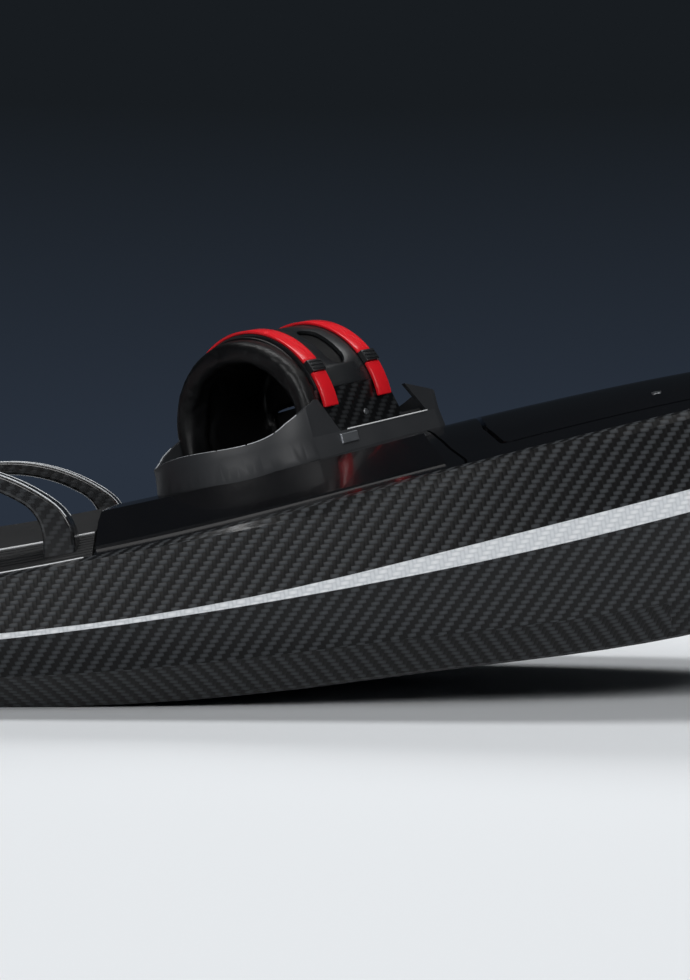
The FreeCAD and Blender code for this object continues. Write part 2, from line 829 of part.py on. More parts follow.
plate_half = size("ride_plate_half_width") + fit
plate_room = box(
    (size("ride_plate_rear") - fit, -plate_half, -OVERSHOOT),
    (size("ride_plate_front") + fit, plate_half, size("ride_plate_thickness")),
)

hull_cuts = [deck_recess, hatch_recess, hinge_pocket, battery_bay]
hull_cuts += [pump_room, intake_ramp, shaft_tunnel, motor_room, plate_room]
bumper_space = box((size("bumper_start"), -ASIDE, BELOW), (size("tip_place") + CLEAR, ASIDE, SKY))

for side, side_name in ((1, "port"), (-1, "starboard")):
    band = loft([stripe_section(section, side) for section in SECTIONS])
    keep(f"stripe_{side_name}", full_hull.common(band).cut(bumper_space))
    hull_cuts.append(band)

keep("bow_bumper", full_hull.common(bumper_space))
hull_cuts.append(bumper_space)
hull_shape = full_hull
for cutter in hull_cuts:
    hull_shape = hull_shape.cut(cutter)
keep("hull", hull_shape)


# Carry handles: an arch with a flat crown and tighter turns, standing on the deck.
def arch_outline(half_span, top, crown_radius, turn_radius, foot):
    """Half the arch from its crown to its foot, as edges in the XZ plane at the handle's middle."""
    middle = size("handle_middle")
    reach = crown_radius - turn_radius
    turn_x = half_span - turn_radius
    lean = math.asin(turn_x / reach)
    centre_z = top - crown_radius
    turn_z = centre_z + reach * math.cos(lean)

    def on_crown(angle, side):
        x = middle + side * crown_radius * math.sin(angle)
        return Vector(x, 0, centre_z + crown_radius * math.cos(angle))

    def on_turn(angle, side):
        x = middle + side * (turn_x + turn_radius * math.sin(angle))
        return Vector(x, 0, turn_z + turn_radius * math.cos(angle))

    aft_foot = Vector(middle - half_span, 0, foot)
    fore_foot = Vector(middle + half_span, 0, foot)
    quarter = math.pi / 2
    return [
        Part.LineSegment(aft_foot, on_turn(quarter, -1)).toShape(),
        Part.Arc(on_turn(quarter, -1), on_turn((quarter + lean) / 2, -1), on_crown(lean, -1)).toShape(),
        Part.Arc(on_crown(lean, -1), on_crown(0, 1), on_crown(lean, 1)).toShape(),
        Part.Arc(on_crown(lean, 1), on_turn((quarter + lean) / 2, 1), on_turn(quarter, 1)).toShape(),
        Part.LineSegment(on_turn(quarter, 1), fore_foot).toShape(),
        Part.LineSegment(fore_foot, aft_foot).toShape(),
    ]


def handle_shape(side):
    foot = size("handle_foot")
    faces = []
    for name, top in (("handle", size("handle_top")), ("grip", size("handle_top") - size("grip_thickness"))):
        radii = size(f"{name}_crown_radius"), size(f"{name}_turn_radius")
        faces.append(Part.Face(Part.Wire(arch_outline(size(f"{name}_half_span"), top, *radii, foot))))
    width = size("handle_width")
    arch = faces[0].cut(faces[1]).extrude(Vector(0, width, 0))
    arch.translate(Vector(0, side * size("handle_offset") - width / 2, 0))
    long_edges = [
        edge
        for edge in arch.Edges
        if edge.BoundBox.YLength < NEAR and edge.BoundBox.ZMax > foot + OVERSHOOT
    ]
    return arch.makeFillet(size("handle_round"), long_edges).cut(full_hull)


keep("handle_port", handle_shape(1))
keep("handle_starboard", handle_shape(-1))


# Foot bindings, built about their own centre: U to the toe, V to its left and W up from the deck.
def sole_wire(grow, height):
    """The sole's outline: a round heel and a square toe with rounded corners."""
    half = size("sole_half_width") + grow
    heel = size("sole_heel")
    toe = size("sole_toe") + grow
    rounding = size("sole_toe_round") + grow
    slant = rounding * (1 - math.sqrt(0.5))
    edges = [
        Part.Arc(Vector(heel, half, height), Vector(heel - half, 0, height), Vector(heel, -half, height)),
        Part.LineSegment(Vector(heel, -half, height), Vector(toe - rounding, -half, height)),
        Part.Arc(
            Vector(toe - rounding, -half, height),
            Vector(toe - slant, -half + slant, height),
            Vector(toe, -half + rounding, height),
        ),
        Part.LineSegment(Vector(toe, -half + rounding, height), Vector(toe, half - rounding, height)),
        Part.Arc(
            Vector(toe, half - rounding, height),
            Vector(toe - slant, half - slant, height),
            Vector(toe - rounding, half, height),
        ),
        Part.LineSegment(Vector(toe - rounding, half, height), Vector(heel, half, height)),
    ]
    return Part.Wire([edge.toShape() for edge in edges])


def sole_prism(grow, low, high):
    return Part.Face(sole_wire(grow, low)).extrude(Vector(0, 0, high - low))


def side_view(points):
    """A solid right across the binding over an outline of U and W pairs."""
    face = Part.Face(polygon([Vector(u, -ASIDE, w) for u, w in points]))
    return face.extrude(Vector(0, 2 * ASIDE, 0))


def tunnel(radius, start, end, foot):
    """A solid with upright sides and a round top, from one place along U to another."""
    centre = size("tunnel_centre")
    near = Vector(start, -radius, centre)
    far = Vector(start, radius, centre)
    near_foot = Vector(start, -radius, foot)
    far_foot = Vector(start, radius, foot)
    outline = [
        Part.LineSegment(near_foot, near),
        Part.Arc(near, Vector(start, 0, centre + radius), far),
        Part.LineSegment(far, far_foot),
        Part.LineSegment(far_foot, near_foot),
    ]
    face = Part.Face(Part.Wire([edge.toShape() for edge in outline]))
    return face.extrude(Vector(end - start, 0, 0))


def sector(start_angle, end_angle, start, end):
    """A wedge about the tunnel's centre, angles in degrees from straight up towards the near side."""
    centre = Vector(start, 0, size("tunnel_centre"))
    reach = ASIDE
    middle_angle = (start_angle + end_angle) / 2
    rays = [math.radians(angle) for angle in (start_angle, middle_angle, end_angle)]
    points = [centre] + [centre + Vector(0, -reach * math.sin(ray), reach * math.cos(ray)) for ray in rays]
    return Part.Face(polygon(points)).extrude(Vector(end - start, 0, 0))


def band(inner, thickness, place, width, start_angle, end_angle):
    """A curved strip round the tunnel."""
    start = place - width / 2
    end = place + width / 2
    low = size("sole_height")
    ring = tunnel(inner + thickness, start, end, low)
    ring = ring.cut(tunnel(inner, start - OVERSHOOT, end + OVERSHOOT, low - OVERSHOOT))
    return ring.common(sector(start_angle, end_angle, start, end))


sole_top = size("sole_height")
footbed_top = sole_top + size("footbed_thickness")
wall_inset = -size("wall_thickness")
toe_end = size("sole_toe") + CLEAR


def sole_shape():
    flare = size("sole_flare")
    skirt = Part.makeLoft([sole_wire(flare * 2, -sole_top), sole_wire(0, sole_top)], True, True)
    high = size("strap_ear_height") + OVERSHOOT
    low = sole_top - OVERSHOOT
    ring = sole_prism(0, low, high).cut(sole_prism(wall_inset, low - OVERSHOOT, high + OVERSHOOT))
    heel_corners = [
        (size("ear_back"), size("ear_back_height")),
        (size("strap_ear_place"), size("strap_ear_height")),
        (size("strap_ear_place") + size("strap_ear_width"), size("strap_ear_height")),
        (size("strap_ear_foot"), low),
        (size("heel_rim_start"), low),
        (size("heel_rim_start"), size("heel_rim")),
    ]
    corners = [Vector(u, -ASIDE, w) for u, w in heel_corners]
    lines = [Part.LineSegment(start, end).toShape() for start, end in zip(corners, corners[1:])]
    dip = Vector(size("heel_dip_place"), -ASIDE, size("heel_dip"))
    rim = Part.Arc(corners[-1], dip, corners[0]).toShape()
    heel_side = Part.Face(Part.Wire([rim] + lines)).extrude(Vector(0, 2 * ASIDE, 0))
    toe_profile = [
        (size("toe_wall_foot"), low),
        (size("toe_wall_start"), size("toe_wall_height")),
        (size("toe_rim_start"), size("toe_rim")),
        (toe_end, size("toe_rim")),
        (toe_end, low),
    ]
    scoop_high = size("toe_rim") - size("toe_scoop_depth") + size("toe_scoop_radius")
    scoop_ends = ((size("toe_rim_start"), 0, scoop_high), (toe_end, 0, scoop_high))
    scoop = cylinder(*scoop_ends, size("toe_scoop_radius"))
    walls = ring.common(heel_side.fuse(side_view(toe_profile).cut(scoop)))
    return skirt.fuse(walls)


def footbed_shape():
    return sole_prism(wall_inset - fit, sole_top, footbed_top)


def side_plate_shape():
    """A carbon plate on each side, standing on the sole between the strap ear and the toe wall."""
    low = sole_top
    ear_front = size("strap_ear_place") + size("strap_ear_width") + size("plate_gap")
    profile = [
        (size("strap_ear_foot") + size("plate_gap"), low),
        (ear_front, size("strap_ear_height")),
        (ear_front, size("plate_top")),
        (size("collar_toe"), size("plate_top")),
        (size("plate_toe"), low),
    ]
    plate_space = side_view(profile)
    inner = size("sole_half_width") - size("wall_thickness")
    outer = inner + size("plate_thickness")
    plates = [
        box((-ASIDE, inner, low), (ASIDE, outer, size("plate_top"))),
        box((-ASIDE, -outer, low), (ASIDE, -inner, size("plate_top"))),
    ]
    return Part.makeCompound([plate.common(plate_space) for plate in plates])


def collar_shape():
    """A padded tunnel with a thick rolled edge at the heel end and a low toe opening in its toe end."""
    radius = size("tunnel_radius")
    start = size("collar_heel")
    roll_end = start + size("roll_length")
    foot = footbed_top
    lining = size("collar_toe") - size("toe_lining")
    sleeve = tunnel(radius, roll_end, size("collar_toe"), foot)
    sleeve = sleeve.cut(tunnel(radius - size("collar_thickness"), roll_end - OVERSHOOT, lining, foot - OVERSHOOT))
    toe_half = size("toe_opening_half")
    toe_room = box(
        (lining - OVERSHOOT, -toe_half, foot - OVERSHOOT),
        (size("collar_toe") + OVERSHOOT, toe_half, foot + size("toe_opening")),
    )
    sleeve = sleeve.cut(toe_room)
    roll = tunnel(radius, start, roll_end, foot)
    inner = radius - size("roll_thickness")
    roll = roll.cut(tunnel(inner, start - OVERSHOOT, roll_end + OVERSHOOT, foot - OVERSHOOT))
    rims = [
        edge
        for edge in roll.Edges
        if edge.BoundBox.XMax < start + NEAR and edge.BoundBox.ZMax > foot + OVERSHOOT
    ]
    return roll.makeFillet(size("roll_round"), rims).fuse(sleeve).removeSplitter()


def tongue_shape():
    """A thin moulded shell over the collar with an oval slot on the near side, between the straps."""
    inner = size("tunnel_radius") + fit
    start = size("tongue_heel")
    end = size("tongue_toe")
    shell = tunnel(inner + size("tongue_thickness"), start, end, sole_top)
    shell = shell.cut(tunnel(inner, start - OVERSHOOT, end + OVERSHOOT, sole_top - OVERSHOOT))
    low = size("plate_top") + fit
    shell = shell.common(box((start - CLEAR, -ASIDE, low), (end + CLEAR, ASIDE, SKY)))
    middle = (size("rear_strap_place") + size("front_strap_place")) / 2
    straight = (size("slot_length") - size("slot_width")) / 2
    radius = size("slot_width") / 2
    oval = cylinder((middle, -straight, 0), (middle, -straight, ASIDE), radius)
    oval = oval.fuse(cylinder((middle, straight, 0), (middle, straight, ASIDE), radius))
    oval = oval.fuse(box((middle - radius, -straight, 0), (middle + radius, straight, ASIDE)))
    oval.rotate(Vector(middle, 0, 0), Vector(1, 0, 0), size("slot_angle"))
    oval.translate(Vector(0, 0, size("tunnel_centre")))
    return shell.cut(oval)


strap_inner = size("tunnel_radius") + fit + size("tongue_thickness") + fit
strap_places = (size("rear_strap_place"), size("front_strap_place"))


def straps_shape():
    """Two red straps, each an upper part from the far side and a lower tab on the near side."""
    parts = []
    for place in strap_places:
        upper = band(
            strap_inner,
            size("strap_thickness"),
            place,
            size("strap_width"),
            -size("strap_far_angle"),
            size("strap_near_angle"),
        )
        tab = band(
            strap_inner,
            size("tab_thickness"),
            place,
            size("tab_width"),
            size("buckle_near_angle"),
            size("tab_near_angle"),
        )
        parts += [upper, tab]
    return Part.makeCompound(parts)


def buckles_shape():
    return Part.makeCompound(
        [
            band(
                strap_inner,
                size("buckle_thickness"),
                place,
                size("tab_width"),
                size("strap_near_angle"),
                size("buckle_near_angle"),
            )
            for place in strap_places
        ]
    )


BINDING_PIECES = {
    "sole": sole_shape,
    "footbed": footbed_shape,
    "side_plates": side_plate_shape,
    "collar": collar_shape,
    "tongue": tongue_shape,
    "straps": straps_shape,
    "buckles": buckles_shape,
}


def binding_placement(place):
    """The binding's centre on the deck, turned towards the bow's left and tilted with the deck."""
    reach = size("tilt_reach")
    rise = deck_height(place + reach, 0) - deck_height(place - reach, 0)
    raised = size("crest_rise") if place > pad_front else 0
    tilt = math.degrees(math.atan2(rise, 2 * reach))
    turn = FreeCAD.Rotation(Vector(0, 0, 1), size("binding_turn"))
    lean = FreeCAD.Rotation(Vector(0, 1, 0), -tilt)
    return FreeCAD.Placement(Vector(place, 0, deck_height(place, 0) + raised), lean.multiply(turn))


for binding in ("front", "rear"):
    placement = binding_placement(size(f"{binding}_binding_place"))
    deck_below = full_hull.copy()
    crest_below = crest.copy()
    for below in (deck_below, crest_below):
        below.transformShape(placement.inverse().toMatrix())
    for piece, make in BINDING_PIECES.items():
        shape = make()
        if piece == "sole":
            shape = shape.cut(deck_below).cut(crest_below).removeSplitter()
        keep(f"{binding}_binding_{piece}", shape, placement)

doc.recompute()
faults = [item.Name for item in doc.Objects if {"Invalid", "Error"} & set(item.State)]
faults += [node for node, item in subparts.items() if item.Shape.isNull() or not item.Shape.isValid()]
if faults:
    raise RuntimeError(f"these did not build: {faults}")

os.makedirs("parts", exist_ok=True)
for node, item in subparts.items():
    item.Shape.exportStep(f"parts/{node}.step")
    solids = item.Shape.Solids
    print(node, len(solids), round(item.Shape.Volume / 1000, 1), "cm3")
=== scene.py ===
import math

import bmesh
import bpy
from mathutils import Matrix, Vector


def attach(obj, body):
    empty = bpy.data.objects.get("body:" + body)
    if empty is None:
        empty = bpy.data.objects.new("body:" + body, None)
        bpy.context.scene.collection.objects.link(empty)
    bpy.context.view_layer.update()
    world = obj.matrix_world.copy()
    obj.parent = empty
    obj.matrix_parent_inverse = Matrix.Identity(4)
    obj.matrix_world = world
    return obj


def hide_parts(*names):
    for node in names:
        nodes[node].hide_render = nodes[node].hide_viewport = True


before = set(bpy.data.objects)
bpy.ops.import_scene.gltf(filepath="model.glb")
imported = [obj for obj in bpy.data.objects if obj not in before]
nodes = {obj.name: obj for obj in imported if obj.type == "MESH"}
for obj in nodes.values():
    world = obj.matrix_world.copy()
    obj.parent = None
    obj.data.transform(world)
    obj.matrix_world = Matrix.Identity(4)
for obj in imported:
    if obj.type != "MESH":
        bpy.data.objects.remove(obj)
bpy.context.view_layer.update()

scene = bpy.context.scene
scene.view_settings.view_transform = "Standard"

# Camera: standing beside the starboard side, low over the floor, a little aft of the front binding.
# The photograph is 690 by 980 pixels, so its long side carries the sensor's width.
CAMERA_PLACE = (0.065, -2.2, 0.262)
CAMERA_DIP = 1.025
FOCAL_PIXELS = 1900
FRAME_HEIGHT = 980
SENSOR = 36

camera_data = bpy.data.cameras.new("camera")
camera_data.sensor_width = SENSOR
camera_data.lens = FOCAL_PIXELS / FRAME_HEIGHT * SENSOR
camera = bpy.data.objects.new("camera", camera_data)
camera.location = CAMERA_PLACE
camera.rotation_euler = (math.radians(90 - CAMERA_DIP), 0, 0)
scene.collection.objects.link(camera)
scene.camera = camera

# Hull: a hollow shell laid up from 2x2 twill carbon cloth, vacuum bagged in a mould.
# A clear gloss epoxy coat lies over the weave, so the tows show through a wet-looking surface.
MM = 0.001
TOW = 4.4  # millimetres across one tow
TWILL_TURN = 10.3  # degrees between the cloth and the board's length
TWILL_REPEAT = 4  # tows until the weave repeats
TWILL_FLOAT = 2  # tows that one tow passes over


def colour(code):
    """A linear RGBA colour from an sRGB hex code."""
    parts = [int(code[i : i + 2], 16) / 255 for i in (0, 2, 4)]
    linear = [c / 12.92 if c <= 0.04045 else ((c + 0.055) / 1.055) ** 2.4 for c in parts]
    return (*linear, 1)


def new_material(name):
    """A material with its node tree and its surface shader."""
    material = bpy.data.materials.new(name)
    material.use_nodes = True
    tree = material.node_tree
    surface = tree.nodes["Principled BSDF"]
    return material, tree, surface


def add(tree, kind, inputs=None, **settings):
    """A node of a kind with its settings; inputs are numbers, colours or other nodes' sockets."""
    node = tree.nodes.new(kind)
    for key, value in settings.items():
        setattr(node, key, value)
    for key, value in (inputs or {}).items():
        if isinstance(value, bpy.types.NodeSocket):
            tree.links.new(value, node.inputs[key])
        else:
            node.inputs[key].default_value = value
    return node


def sums(tree, operation, *terms):
    """The result of a math node on one to three terms."""
    return add(tree, "ShaderNodeMath", dict(enumerate(terms)), operation=operation).outputs[0]


def pick(tree, share, first, second):
    """A number between two others, by a share."""
    return add(tree, "ShaderNodeMix", {0: share, 2: first, 3: second}).outputs[0]


def blend(tree, share, first, second):
    """A colour between two others, by a share; each is an sRGB hex code or a socket."""
    tints = [colour(tint) if isinstance(tint, str) else tint for tint in (first, second)]
    return add(tree, "ShaderNodeMix", {0: share, 6: tints[0], 7: tints[1]}, data_type="RGBA").outputs[2]


def bumped(tree, height, strength, depth):
    """The surface's normal, tilted by a height that spans a depth in millimetres."""
    inputs = {"Strength": strength, "Distance": depth * MM, "Height": height}
    return add(tree, "ShaderNodeBump", inputs).outputs[0]


def finish_with(tree, surface, **values):
    """Sets the surface's sockets by name, words joined by underscores; a socket is linked."""
    for key, value in values.items():
        socket = surface.inputs[key.replace("_", " ")]
        if isinstance(value, bpy.types.NodeSocket):
            tree.links.new(value, socket)
        else:
            socket.default_value = value


def dress(names, material):
    """Puts one material on CAD nodes."""
    for name in names:
        mesh = nodes[name].data
        mesh.materials.clear()
        mesh.materials.append(material)


def flat_place(tree, turn):
    """Two coordinates in millimetres that lie in each face's own main plane, turned by an angle."""
    place = add(tree, "ShaderNodeTexCoord").outputs["Object"]
    facing = add(tree, "ShaderNodeNewGeometry").outputs["True Normal"]
    at = add(tree, "ShaderNodeSeparateXYZ", {0: place}).outputs
    toward = add(tree, "ShaderNodeSeparateXYZ", {0: facing}).outputs
    lean = [sums(tree, "ABSOLUTE", toward[axis]) for axis in range(3)]
    level = sums(tree, "GREATER_THAN", lean[2], sums(tree, "MAXIMUM", lean[0], lean[1]))
    across = sums(tree, "GREATER_THAN", lean[0], sums(tree, "MAXIMUM", lean[1], lean[2]))
    along = pick(tree, across, at[0], at[1])
    up = pick(tree, level, at[2], at[1])
    cosine, sine = math.cos(math.radians(turn)) / MM, math.sin(math.radians(turn)) / MM
    u = sums(tree, "MULTIPLY_ADD", along, cosine, sums(tree, "MULTIPLY", up, sine))
    v = sums(tree, "MULTIPLY_ADD", along, -sine, sums(tree, "MULTIPLY", up, cosine))
    return u, v


def twill(tree):
    """2x2 twill: whether the weft lies on top, and the height of the upper tow's rounded back."""
    u, v = flat_place(tree, TWILL_TURN)
    u, v = sums(tree, "DIVIDE", u, TOW), sums(tree, "DIVIDE", v, TOW)
    column, row = sums(tree, "FLOOR", u), sums(tree, "FLOOR", v)
    part_u, part_v = sums(tree, "FRACT", u), sums(tree, "FRACT", v)
    step = sums(tree, "FLOORED_MODULO", sums(tree, "SUBTRACT", column, row), TWILL_REPEAT)
    weft = sums(tree, "LESS_THAN", step, TWILL_FLOAT - 0.5)
    weft_run = sums(tree, "DIVIDE", sums(tree, "ADD", step, part_u), TWILL_FLOAT)
    warp_left = sums(tree, "SUBTRACT", TWILL_REPEAT - 1, step)
    warp_run = sums(tree, "DIVIDE", sums(tree, "ADD", warp_left, part_v), TWILL_FLOAT)
    run = pick(tree, weft, warp_run, weft_run)
    side = pick(tree, weft, part_u, part_v)
    arch = sums(tree, "SINE", sums(tree, "MULTIPLY", side, math.pi))
    rise = sums(tree, "SINE", sums(tree, "MULTIPLY", run, math.pi))
    crown = sums(tree, "MULTIPLY_ADD", rise, 0.5, 0.5)
    back = sums(tree, "MULTIPLY", sums(tree, "POWER", arch, 0.5), crown)
    return weft, back


def twill_cloth(name, weft_sheen_code, warp_code, gap_shade_code, relief, coat=0.2):
    """A woven cloth under a clear coat: the colour of its warp, a lighter weft that is a painted sheen, and a
    painted shade at the tows' sides and between them.
    """
    material, tree, surface = new_material(name)
    weft, back = twill(tree)
    # Painted light: the weft is painted lighter than the warp as a sheen, and each tow shades from the gap's
    # painted shade at its sides to that sheen on its crown.
    tow_sheen_tone = blend(tree, weft, warp_code, weft_sheen_code)
    finish_with(
        tree, surface, Base_Color=blend(tree, back, gap_shade_code, tow_sheen_tone), Roughness=0.4,
        Specular_IOR_Level=0.25, Normal=bumped(tree, back, 0.6, relief),
        Coat_Weight=coat, Coat_Roughness=0.12, Coat_IOR=1.5,
    )
    return material


# Carbon fibre in epoxy under a sprayed clear coat; the grey weft floats are a painted sheen and the black between
# tows a painted shade.
carbon = twill_cloth("carbon_twill_painted_sheen_and_shade", "3d4043", "050506", "020202", relief=0.35)
dress(["hull"], carbon)

# Stripes: a pale silver band along the widest line of each side, a painted highlight in the place of a strip
# light's reflection on the hull's crease.
# Its weave is painted like the hull's, under the same clear coat.
silver = twill_cloth("stripe_painted_highlight_twill", "eef0f2", "dfe2e5", "c4c8cc", relief=0.05)
dress(["stripe_port", "stripe_starboard"], silver)

# Deck panels and hatch lid: carbon mouldings sprayed with black two-pack lacquer and polished.
# The eye sees a near-black mirror with a faint orange peel.
PEEL = 9
HAZE = 71.4
HAZE_SPREAD = 0.06
NOISE_SPAN = (0.3, 0.7)


def noise(tree, size, detail):
    """Cloudy noise about one half, its patches of a size in millimetres."""
    place = add(tree, "ShaderNodeTexCoord").outputs["Object"]
    inputs = {"Vector": place, "Scale": 1 / (size * MM), "Detail": detail}
    return add(tree, "ShaderNodeTexNoise", inputs).outputs[0]


def between(tree, source, low, high):
    """A noise's usual span, stretched to run from one value to another."""
    inputs = {
        "Value": source, "From Min": NOISE_SPAN[0], "From Max": NOISE_SPAN[1], "To Min": low, "To Max": high,
    }
    return add(tree, "ShaderNodeMapRange", inputs).outputs[0]


def lacquer(name, code, roughness):
    """A polished paint with orange peel and hazy patches."""
    material, tree, surface = new_material(name)
    sheen = between(tree, noise(tree, HAZE, 4), roughness, roughness + HAZE_SPREAD)
    finish_with(
        tree, surface, Base_Color=colour(code), Roughness=sheen,
        Normal=bumped(tree, noise(tree, PEEL, 2), 0.05, 0.3),
        Specular_IOR_Level=0.3, Coat_Weight=0.25, Coat_Roughness=0.04,
    )
    return material


# Two-pack polyurethane lacquer over carbon.
deck_black = lacquer("black_lacquer_polished", "0b0b0d", 0.16)
dress(["centre_deck", "fore_deck", "hatch_lid"], deck_black)

# Grip pads: closed-cell EVA foam sheet, cut and hot pressed with grooves, glued into the deck.
# The cut cells give a fine matt grain.
CELL = 0.9
FOAM_CLOUD = 33.3


def cells(tree, size):
    """The distance to the nearest of scattered points, spaced by a size in millimetres."""
    place = add(tree, "ShaderNodeTexCoord").outputs["Object"]
    return add(tree, "ShaderNodeTexVoronoi", {"Vector": place, "Scale": 1 / (size * MM)}).outputs["Distance"]


def foam(name, code, fleck_code, cell):
    """A matt foam, rubber or neoprene, clouded between two tones."""
    material, tree, surface = new_material(name)
    tone = blend(tree, noise(tree, FOAM_CLOUD, 5), code, fleck_code)
    finish_with(
        tree, surface, Base_Color=tone, Roughness=0.62, Normal=bumped(tree, cells(tree, cell), 0.5, 0.3)
    )
    return material


# Ethylene-vinyl acetate foam, also under the rider's feet.
eva = foam("eva_foam_pressed", "0e0f10", "17181a", CELL)
dress(["aft_deck_pad", "side_pad_port", "side_pad_starboard"], eva)
dress(["front_binding_footbed", "rear_binding_footbed"], eva)

# Pad edge lines: thin white cords along the inner and the outer edge of each side pad.
# Their white is a painted highlight that stands in for the light caught by the pads' edges.
WELT_HALF = 0.19
WELT_ENDS = (-0.882, -0.2)
WELT_RADIUS = 1.1
WELT_STEPS = 24
WELT_BED = 3  # millimetres inboard of the joint, where the middle pad gives the height
EDGE_START = 5  # millimetres outboard of the joint, surely on the side pad
EDGE_NEAR = 0.2
EDGE_BED = 2  # millimetres outboard of the pad, where the hull gives the height
HULL_HALF = 0.3
ABOVE = 1
DOWN = Vector((0, 0, -1))
WEAR = 16.7
WEAR_SPREAD = (-0.04, 0.06)


def on_top(name, x, y):
    """The highest point of a CAD node over a place, with its normal there."""
    hit, place, normal, face = nodes[name].ray_cast(Vector((x, y, ABOVE)), DOWN)
    return place, normal


def made(name, mesh, material, body="root", smooth=False):
    """A piece from a mesh, dressed, named and riding on its body."""
    piece = bpy.data.objects.new(name, mesh)
    scene.collection.objects.link(piece)
    mesh.materials.clear()
    mesh.materials.append(material)
    mesh.polygons.foreach_set("use_smooth", [smooth] * len(mesh.polygons))
    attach(piece, body)
    return piece


def spaced(first, last, steps):
    """Evenly spaced values from the first to the last."""
    return [first + (last - first) * step / steps for step in range(steps + 1)]


def round_cord(name, runs, radius):
    """Round cords of one radius in millimetres along runs of points."""
    curve = bpy.data.curves.new(name, "CURVE")
    curve.dimensions = "3D"
    curve.bevel_depth = radius * MM
    curve.bevel_resolution = 2
    curve.use_fill_caps = True
    for run in runs:
        spline = curve.splines.new("POLY")
        spline.points.add(len(run) - 1)
        for point, place in zip(spline.points, run):
            point.co = (*place, 1)
    holder = bpy.data.objects.new(name, curve)
    scene.collection.objects.link(holder)
    bpy.context.view_layer.update()
    graph = bpy.context.evaluated_depsgraph_get()
    mesh = bpy.data.meshes.new_from_object(holder.evaluated_get(graph))
    bpy.data.objects.remove(holder)
    return mesh


def plain_plastic(name, code, roughness):
    """A smooth plastic or paint, a little worn in patches."""
    material, tree, surface = new_material(name)
    low, high = (roughness + spread for spread in WEAR_SPREAD)
    gloss = between(tree, noise(tree, WEAR, 4), low, high)
    finish_with(tree, surface, Base_Color=colour(code), Roughness=gloss)
    return material


def pad_edge(pad, x, side):
    """How far out a side pad reaches at a place along the board."""
    inside, outside = WELT_HALF + EDGE_START * MM, HULL_HALF
    while outside - inside > EDGE_NEAR * MM:
        middle = (inside + outside) / 2
        if pad.ray_cast(Vector((x, side * middle, ABOVE)), DOWN)[0]:
            inside = middle
        else:
            outside = middle
    return outside


# White: a painted highlight on the pad edges, and the white inlaid line of the soles.
white_line_and_highlight = plain_plastic("white_line_and_painted_highlight", "e4e6e8", 0.4)
welts = []
for side, pad_name in ((-1, "side_pad_starboard"), (1, "side_pad_port")):
    inner_run, outer_run = [], []
    for x in spaced(*WELT_ENDS, WELT_STEPS):
        height = on_top("aft_deck_pad", x, side * (WELT_HALF - WELT_BED * MM))[0].z
        inner_run.append((x, side * WELT_HALF, height))
        out = pad_edge(nodes[pad_name], x, side)
        outer_run.append((x, side * out, on_top("hull", x, side * (out + EDGE_BED * MM))[0].z))
    welts += [inner_run, outer_run]
made("pad_edge_highlights", round_cord("pad_edge_highlights", welts, WELT_RADIUS), white_line_and_highlight, smooth=True)

# Bow cap and hatch seal: moulded thermoplastic rubber with a dull skin.
# The cap is glued over the bow's tip, and the seal is pressed onto the rim of the battery bay.
rubber = foam("thermoplastic_rubber_moulded", "0e0e0f", "161617", 0.5)
dress(["bow_bumper", "hatch_seal"], rubber)

# Carry handles: carbon tube arches laid up in the same twill, clear coated and bonded to the deck.
# The side plates of the bindings are cut from sheet with the same polished finish.
# The grey weft floats are a painted sheen and the black between tows a painted shade, as on the hull.
handle_carbon = twill_cloth("carbon_twill_polished_painted_sheen", "2c2e30", "050506", "020202", relief=0.2, coat=0.8)
dress(["handle_port", "handle_starboard", "front_binding_side_plates", "rear_binding_side_plates"], handle_carbon)

# Edge lines of the handles: a thin pale line just inside each long edge, a painted highlight in the place of the
# lamps' reflections on the rounded edges.
# Each is found by rays cast at the arch toward the middle of its grip gap.
HANDLE_MIDDLE = -0.361
HANDLE_HEART = 0.17
HANDLE_OFFSET = 0.23
LINE_HALF = 0.0165
LINE_TURNS = (12, 168)
LINE_STEPS = 48
HANDLE_LINE_RADIUS = 0.7
# Pale silver-grey, a painted highlight.
edge_highlight_paint = plain_plastic("handle_edge_painted_highlight", "dfe3e6", 0.3)
edge_lines = []
for side, handle in ((1, "handle_port"), (-1, "handle_starboard")):
    for edge_side in (-1, 1):
        heart = Vector((HANDLE_MIDDLE, side * HANDLE_OFFSET + edge_side * LINE_HALF, HANDLE_HEART))
        run = []
        for degrees in spaced(*LINE_TURNS, LINE_STEPS):
            angle = math.radians(degrees)
            outward = Vector((math.cos(angle), 0, math.sin(angle)))
            run.append(nodes[handle].ray_cast(heart + outward, -outward)[1])
        edge_lines.append(run)
edge_cords = round_cord("handle_edge_highlights", edge_lines, HANDLE_LINE_RADIUS)
made("handle_edge_highlights", edge_cords, edge_highlight_paint, smooth=True)

# Metal pieces: stainless hinge, shaft and impeller, and the pump's cast and anodised aluminium.
# Both have a fine grain from machining and blasting.
METAL_SPREAD = 0.12


def bare_metal(name, code, roughness, grit):
    """A metal with a grain of a size in millimetres."""
    material, tree, surface = new_material(name)
    grain = noise(tree, grit, 4)
    finish_with(
        tree, surface, Base_Color=colour(code), Metallic=1.0,
        Roughness=between(tree, grain, roughness, roughness + METAL_SPREAD),
        Normal=bumped(tree, grain, 0.15, 0.1),
    )
    return material


# Turned stainless steel, and black anodised aluminium.
stainless = bare_metal("stainless_steel_turned", "b9bcbf", roughness=0.24, grit=1.5)
anodised = bare_metal("aluminium_black_anodised", "4a4d51", roughness=0.34, grit=2.0)
dress(["hatch_bracket", "drive_shaft", "impeller"], stainless)
dress(["pump_housing", "nozzle", "intake_grate", "ride_plate", "motor"], anodised)

# Latches of the hatch: two stainless quarter-turn screws near the lid's rear edge, which open with it.
# Only their flat tapered heads show.
LATCH_PLACES = ((0.399, -0.16), (0.399, 0.16))
LATCH_RADIUS = 6
LATCH_DEPTH = 1.2
HEAD_TAPER = 0.86
HEAD_SIDES = 24


